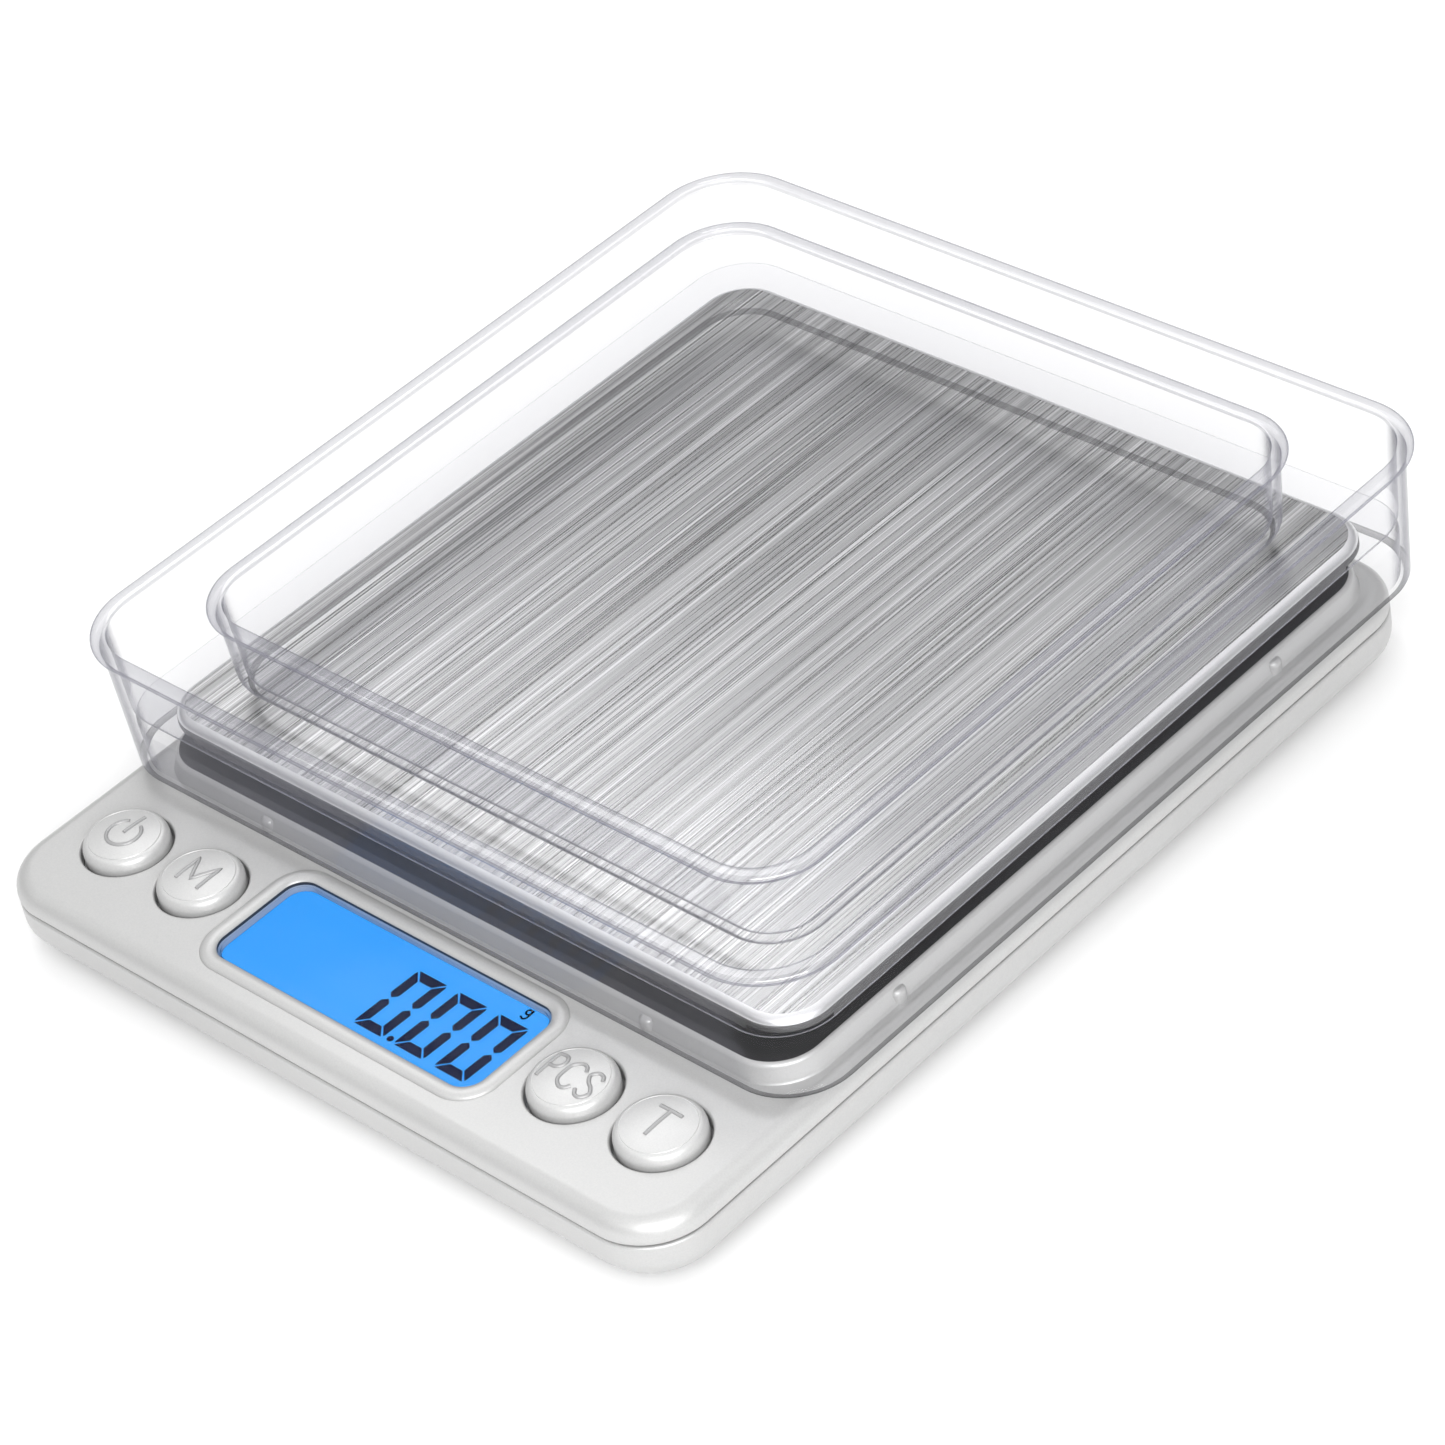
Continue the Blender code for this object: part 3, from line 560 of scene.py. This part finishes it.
class Surface:
    """A Principled material with helpers for noise in the object's own coordinates."""

    def __init__(self, name, roughness, metallic=0.0, **sockets):
        self.material = bpy.data.materials.new(name)
        self.material.use_nodes = True
        self.tree = self.material.node_tree
        self.shader = self.tree.nodes["Principled BSDF"]
        self.shader.inputs["Roughness"].default_value = roughness
        self.shader.inputs["Metallic"].default_value = metallic
        for socket, value in sockets.items():
            self.shader.inputs[socket.replace("_", " ")].default_value = value

    def node(self, kind, **values):
        made = self.tree.nodes.new(kind)
        for key, value in values.items():
            setattr(made, key, value)
        return made

    def link(self, source, target):
        self.tree.links.new(source, target)

    def noise(self, scale, detail=3.0, roughness=0.55):
        """Noise with so many waves per metre along X, Y and Z."""
        place = self.node("ShaderNodeTexCoord")
        mapping = self.node("ShaderNodeMapping")
        mapping.inputs["Scale"].default_value = scale
        texture = self.node("ShaderNodeTexNoise")
        texture.inputs["Scale"].default_value = 1.0
        texture.inputs["Detail"].default_value = detail
        texture.inputs["Roughness"].default_value = roughness
        self.link(place.outputs["Object"], mapping.inputs["Vector"])
        self.link(mapping.outputs["Vector"], texture.inputs["Vector"])
        return texture.outputs["Fac"]

    def ramp(self, source, stops):
        ramp = colour_ramp(self.tree, stops)
        self.link(source, ramp.inputs["Fac"])
        return ramp.outputs["Color"]

    def span(self, source, low, high, start=0.3, end=0.7, easing="LINEAR"):
        """The source's range from start to end, stretched to run from low to high."""
        mapped = self.node("ShaderNodeMapRange", interpolation_type=easing)
        for socket, value in (("From Min", start), ("From Max", end), ("To Min", low), ("To Max", high)):
            mapped.inputs[socket].default_value = value
        self.link(source, mapped.inputs["Value"])
        return mapped.outputs["Result"]

    def multiply(self, share, first, second):
        mix = self.node("ShaderNodeMix", data_type="RGBA", blend_type="MULTIPLY")
        mix.inputs["Factor"].default_value = share
        self.link(first, mix.inputs[6])
        self.link(second, mix.inputs[7])
        return mix.outputs[2]

    def bump(self, source, depth, strength):
        made = self.node("ShaderNodeBump")
        made.inputs["Distance"].default_value = depth
        made.inputs["Strength"].default_value = strength
        self.link(source, made.inputs["Height"])
        self.link(made.outputs["Normal"], self.shader.inputs["Normal"])
        return made.outputs["Normal"]

    def paint(self, source, socket="Base Color"):
        self.link(source, self.shader.inputs[socket])


def shades(colour, spread):
    return [tuple(max(0.0, min(1.0, c * (1 + s))) for c in colour) for s in (-spread, spread)]


def moulded(name, colour, roughness, metallic=0.0, spread=0.05, grain=2500.0, depth=3e-6):
    """Moulded or cast stock: a slow drift of tone under a fine texture."""
    surface = Surface(name, roughness, metallic)
    dark, light = shades(colour, spread)
    slow = surface.noise((45, 45, 45), 2.0)
    fine = surface.noise((grain, grain, grain), 2.0)
    tone = surface.ramp(slow, [(0.3, dark), (0.7, light)])
    speck = surface.ramp(fine, [(0.3, (0.9, 0.9, 0.9)), (0.7, (1.0, 1.0, 1.0))])
    surface.paint(surface.multiply(0.5, tone, speck))
    surface.paint(surface.span(fine, roughness - 0.05, roughness + 0.05), "Roughness")
    surface.bump(fine, depth, 0.6)
    return surface.material


def silver_paint(name, colour):
    """Satin metallic paint: tiny flakes under a soft clear coat."""
    surface = Surface(name, 0.42, 0.35, Coat_Weight=0.25, Coat_Roughness=0.22)
    dark, light = shades(colour, 0.03)
    slow = surface.noise((30, 30, 30), 2.0)
    flake = surface.noise((5200, 5200, 5200), 2.0, 0.7)
    tone = surface.ramp(slow, [(0.3, dark), (0.7, light)])
    sparkle = surface.ramp(flake, [(0.25, (0.88, 0.88, 0.89)), (0.75, (1.0, 1.0, 1.0))])
    surface.paint(surface.multiply(1.0, tone, sparkle))
    surface.paint(surface.span(flake, 0.36, 0.48), "Roughness")
    surface.bump(surface.noise((900, 900, 900), 3.0), 4e-6, 0.5)
    return surface.material


def brushed_steel(name):
    """Stainless sheet brushed front to back: hair lines over broader bands."""
    surface = Surface(name, 0.3, 1.0, Anisotropic=0.7)
    hair = surface.noise((5200, 10, 5200), 2.0, 0.65)
    bands = surface.noise((700, 3, 700), 2.0, 0.5)
    tone = surface.ramp(hair, [(0.34, (0.20, 0.20, 0.20)), (0.45, (0.41, 0.41, 0.41)),
                               (0.55, (0.47, 0.47, 0.47)), (0.66, (0.80, 0.80, 0.80))])
    wide = surface.ramp(bands, [(0.3, (0.94, 0.94, 0.94)), (0.7, (1.0, 1.0, 1.0))])
    surface.paint(surface.multiply(1.0, tone, wide))
    surface.paint(surface.span(hair, 0.22, 0.42), "Roughness")
    tangent = surface.node("ShaderNodeTangent", direction_type="UV_MAP", uv_map="sheet")
    surface.link(tangent.outputs["Tangent"], surface.shader.inputs["Tangent"])
    surface.bump(hair, 4e-6, 0.5)
    return surface.material


def clear_plastic(name, shade_tint, haze_and_shade, edge, gloss_low=0.012):
    """Thin clear moulding: open face on, tinted where it is seen edge on, with a faint gloss. The tint is
    painted shade: a dark cover that stands in for the dark lines at the plastic's edges.
    """
    surface = Surface(name, 0.12, 0.0, Specular_IOR_Level=0.15)
    scuffs = surface.noise((120, 120, 120), 5.0, 0.65)
    dark, light = shades(shade_tint, 0.06)
    surface.paint(surface.ramp(scuffs, [(0.35, dark), (0.65, light)]))
    surface.paint(surface.span(scuffs, 0.08, 0.16), "Roughness")
    normal = surface.bump(surface.noise((60, 60, 60), 2.0), 8e-6, 0.3)
    rim = surface.node("ShaderNodeLayerWeight")
    rim.inputs["Blend"].default_value = 0.5
    # Painted shade: the cover of tint grows towards edge-on views.
    shade_cover = surface.node("ShaderNodeFloatCurve")
    curve = shade_cover.mapping.curves[0]
    for place, share in ((0.52, 0.03), (0.64, 0.35), (0.8, 0.85)):
        curve.points.new(place, haze_and_shade + share * (edge - haze_and_shade))
    curve.points[0].location = (0.0, haze_and_shade * 0.5)
    curve.points[-1].location = (1.0, edge)
    shade_cover.mapping.update()
    surface.link(rim.outputs["Facing"], shade_cover.inputs["Value"])
    clear = surface.node("ShaderNodeBsdfTransparent")
    clear.inputs["Color"].default_value = (0.985, 0.985, 0.988, 1.0)
    body = surface.node("ShaderNodeMixShader")
    surface.link(shade_cover.outputs["Value"], body.inputs["Fac"])
    surface.link(clear.outputs["BSDF"], body.inputs[1])
    surface.link(surface.shader.outputs["BSDF"], body.inputs[2])
    gloss = surface.node("ShaderNodeBsdfGlossy")
    gloss.inputs["Roughness"].default_value = 0.06
    sheen = surface.span(rim.outputs["Facing"], gloss_low, 0.25, 0.58, 1.0, "SMOOTHSTEP")
    surface.link(normal, gloss.inputs["Normal"])
    mix = surface.node("ShaderNodeMixShader")
    surface.link(sheen, mix.inputs["Fac"])
    surface.link(body.outputs["Shader"], mix.inputs[1])
    surface.link(gloss.outputs["BSDF"], mix.inputs[2])
    surface.link(mix.outputs["Shader"], surface.tree.nodes["Material Output"].inputs["Surface"])
    return surface.material


def lit_blue(name):
    """The display's even blue, with the faint unevenness of an edge-lit panel."""
    surface = Surface(name, 0.5, Emission_Strength=0.96, Specular_IOR_Level=0.1)
    drift = surface.noise((40, 60, 40), 2.0)
    surface.paint(surface.ramp(drift, [(0.3, (0.005, 0.02, 0.05)), (0.7, (0.007, 0.025, 0.06))]))
    glow = surface.ramp(drift, [(0.3, (0.030, 0.340, 0.97)), (0.7, (0.036, 0.362, 1.0))])
    surface.paint(glow, "Emission Color")
    return surface.material


def printed(name, colour):
    """Dull ink, a little uneven."""
    surface = Surface(name, 0.6, Specular_IOR_Level=0.05)
    dark, light = shades(colour, 0.15)
    surface.paint(surface.ramp(surface.noise((900, 900, 900)), [(0.3, dark), (0.7, light)]))
    return surface.material


def build_looks():
    return {
        "silver_casing": silver_paint("silver_casing", (0.50, 0.50, 0.495)),
        "silver_button": silver_paint("silver_button", (0.56, 0.56, 0.555)),
        "brushed_platform": brushed_steel("brushed_platform"),
        # The clear materials' dark tints at their edges, lips and lower edges are painted shade.
        "clear_tray": clear_plastic("clear_tray", (0.26, 0.26, 0.30), 0.01, 0.85, 0.005),
        "tray_lip_painted_shade": clear_plastic("tray_lip_painted_shade", (0.09, 0.09, 0.16), 0.22, 0.95, 0.10),
        "tray_edge_painted_shade": clear_plastic("tray_edge_painted_shade", (0.03, 0.03, 0.035), 0.65, 0.95),
        "display_lens": clear_plastic("display_lens", (0.02, 0.02, 0.03), 0.005, 0.7, 0.005),
        # The plate's rolled edge and flange: one pressed steel in a light copy (painted highlight) and a dark
        # copy (painted shade).
        "painted_highlight_edge": moulded("painted_highlight_edge", (0.84, 0.84, 0.845), 0.36, 1.0, 0.02, 6000.0, 1e-8),
        "painted_shade_flange": moulded("painted_shade_flange", (0.15, 0.15, 0.152), 0.36, 1.0, 0.02, 6000.0, 1e-8),
        # Painted shade: a near-black stock for the plateau's top, which lies in the platform's shadow.
        "painted_shade_under_platform": moulded("painted_shade_under_platform", (0.035, 0.035, 0.037), 0.5, spread=0.1),
        # Painted shade: the legends' strokes are the buttons' silver paint made darker, standing in for the
        # shade along the raised strokes.
        "legend_painted_shade": silver_paint("legend_painted_shade", (0.36, 0.36, 0.36)),
        "display_blue": lit_blue("display_blue"),
        "backlight": moulded("backlight", (0.75, 0.80, 0.86), 0.4),
        "black_rubber": moulded("black_rubber", (0.025, 0.025, 0.026), 0.75, 0.0, 0.2, 1500.0, 1e-5),
        "black_plastic": moulded("black_plastic", (0.03, 0.03, 0.032), 0.45, spread=0.12),
        "grey_rubber": moulded("grey_rubber", (0.22, 0.22, 0.225), 0.7, spread=0.1),
        "screw_steel": moulded("screw_steel", (0.42, 0.42, 0.43), 0.32, 1.0, spread=0.08, grain=4000.0),
        "load_cell_alloy": moulded("load_cell_alloy", (0.74, 0.75, 0.76), 0.35, 1.0, grain=3000.0),
        "white_resin": moulded("white_resin", (0.82, 0.82, 0.80), 0.4),
        "board": moulded("board", (0.02, 0.17, 0.08), 0.45, spread=0.15, grain=1200.0),
        "nickel": moulded("nickel", (0.68, 0.67, 0.64), 0.28, 1.0, grain=4000.0),
        "battery_jacket": moulded("battery_jacket", (0.20, 0.21, 0.23), 0.38, 0.4),
        "lead_red": moulded("lead_red", (0.55, 0.03, 0.02), 0.5),
        "lead_black": moulded("lead_black", (0.02, 0.02, 0.02), 0.5),
        "lead_white": moulded("lead_white", (0.78, 0.78, 0.76), 0.5),
        "lead_green": moulded("lead_green", (0.04, 0.36, 0.09), 0.5),
    }


def dress(obj, body, look, stands_for, keep=False):
    """Gives a finished piece its material, its body and its slot, and hides the nodes that it stands for."""
    if not keep:
        obj.data.materials.clear()
        obj.data.materials.append(LOOKS[look])
    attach(obj, body)
    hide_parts(*stands_for)


# ---------------------------------------------------------------- stage

def build_floor():
    size = 4.0
    floor = mesh_piece("floor", [(-size, -size, 0), (size, -size, 0), (size, size, 0), (-size, size, 0)],
                       [(0, 1, 2, 3)])
    surface = Surface("floor", 0.9, Specular_IOR_Level=0.1)
    drift = surface.noise((3, 3, 3), 2.0)
    surface.paint(surface.ramp(drift, [(0.3, (0.86, 0.86, 0.86)), (0.7, (0.87, 0.87, 0.87))]))
    floor.data.materials.append(surface.material)


def build_world():
    world = bpy.data.worlds.new("studio")
    bpy.context.scene.world = world
    world.use_nodes = True
    tree = world.node_tree
    place = tree.nodes.new("ShaderNodeTexCoord")
    parts = tree.nodes.new("ShaderNodeSeparateXYZ")
    levels = [(0.0, 0.45), (0.30, 0.42), (0.62, 0.70), (0.85, 1.0)]
    ramp = colour_ramp(tree, [(where, (level, level, level)) for where, level in levels])
    tree.links.new(place.outputs["Generated"], parts.inputs["Vector"])
    tree.links.new(parts.outputs["Z"], ramp.inputs["Fac"])
    background = tree.nodes["Background"]
    tree.links.new(ramp.outputs["Color"], background.inputs["Color"])
    background.inputs["Strength"].default_value = 1.22


def area_light(name, place, aim, size, power):
    data = bpy.data.lights.new(name, "AREA")
    data.shape = "RECTANGLE"
    data.size, data.size_y = size
    data.energy = power
    light = bpy.data.objects.new(name, data)
    bpy.context.scene.collection.objects.link(light)
    light.location = place
    light.visible_camera = False
    light.rotation_euler = (Vector(aim) - Vector(place)).to_track_quat("-Z", "Y").to_euler()


def build_lights():
    area_light("front_right", (1.1, -0.55, 0.75), (0, 0, 0.01), (0.7, 0.7), 11.0)
    area_light("near_front", (0.17, -0.21, 0.17), (0.05, -0.05, 0.01), (0.12, 0.12), 0.30)
    area_light("near_left", (-0.14, 0.07, 0.24), (0.04, -0.05, 0.01), (0.12, 0.12), 0.11)
    area_light("near_back", (-0.10, 0.20, 0.30), (0.05, -0.05, 0.01), (0.12, 0.12), 0.055)


def build_camera():
    turn, height, roll = (math.radians(v) for v in (TURN, HEIGHT, ROLL))
    back = Vector((math.sin(turn) * math.cos(height), -math.cos(turn) * math.cos(height), math.sin(height)))
    right = (-back).cross(Vector((0, 0, 1))).normalized()
    up = right.cross(-back)
    side = right * math.cos(roll) + up * math.sin(roll)
    above = up * math.cos(roll) - right * math.sin(roll)
    data = bpy.data.cameras.new("camera")
    data.lens = LENS
    data.sensor_width = 36.0
    data.clip_start = 0.01
    camera = bpy.data.objects.new("camera", data)
    bpy.context.scene.collection.objects.link(camera)
    matrix = Matrix((side, above, back)).transposed().to_4x4()
    matrix.translation = Vector(LOOK_AT) + back * DISTANCE
    camera.matrix_world = matrix
    bpy.context.scene.camera = camera


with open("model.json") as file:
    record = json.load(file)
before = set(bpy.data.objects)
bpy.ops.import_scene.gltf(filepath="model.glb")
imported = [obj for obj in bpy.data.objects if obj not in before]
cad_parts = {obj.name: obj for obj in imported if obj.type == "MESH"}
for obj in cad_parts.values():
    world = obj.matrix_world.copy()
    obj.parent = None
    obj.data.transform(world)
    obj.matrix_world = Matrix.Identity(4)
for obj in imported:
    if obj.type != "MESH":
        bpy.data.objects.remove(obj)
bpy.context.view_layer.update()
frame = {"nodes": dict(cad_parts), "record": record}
LOOKS = build_looks()
for entry in frame["record"]["subparts"]:
    node = frame["nodes"][entry["node"]]
    node.data.materials.clear()
    node.data.materials.append(LOOKS[entry["material_slot"]])

dress(build_top(), "casing", "silver_casing", ["top_casing"], keep=True)
dress(build_bottom(), "casing", "silver_casing", ["bottom_casing"])
dress(build_pane(), "casing", "display_lens", ["display_window"])
digits = build_digits()
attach(digits, "casing")
digits.data.materials.append(printed("lcd_ink", (0.004, 0.006, 0.03)))
for button, button_x in BUTTONS.items():
    dress(build_cap(button, button_x), f"button_{button}", "silver_button", [f"button_{button}"])
    drawn = build_legend(button, button_x)
    # The legend's darker silver is painted shade along its raised strokes.
    drawn.data.materials.append(LOOKS["legend_painted_shade"])
    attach(drawn, f"button_{button}")
dress(build_plate(), "platform", "brushed_platform", ["weighing_platform"], keep=True)
dress(build_large_tray(), "large_tray", "clear_tray", ["large_tray"], keep=True)
dress(build_small_tray(), "small_tray", "clear_tray", ["small_tray"], keep=True)

build_floor()
build_world()
build_lights()
build_camera()
bpy.context.scene.view_settings.view_transform = "Standard"
bpy.context.scene.cycles.transparent_max_bounces = 32
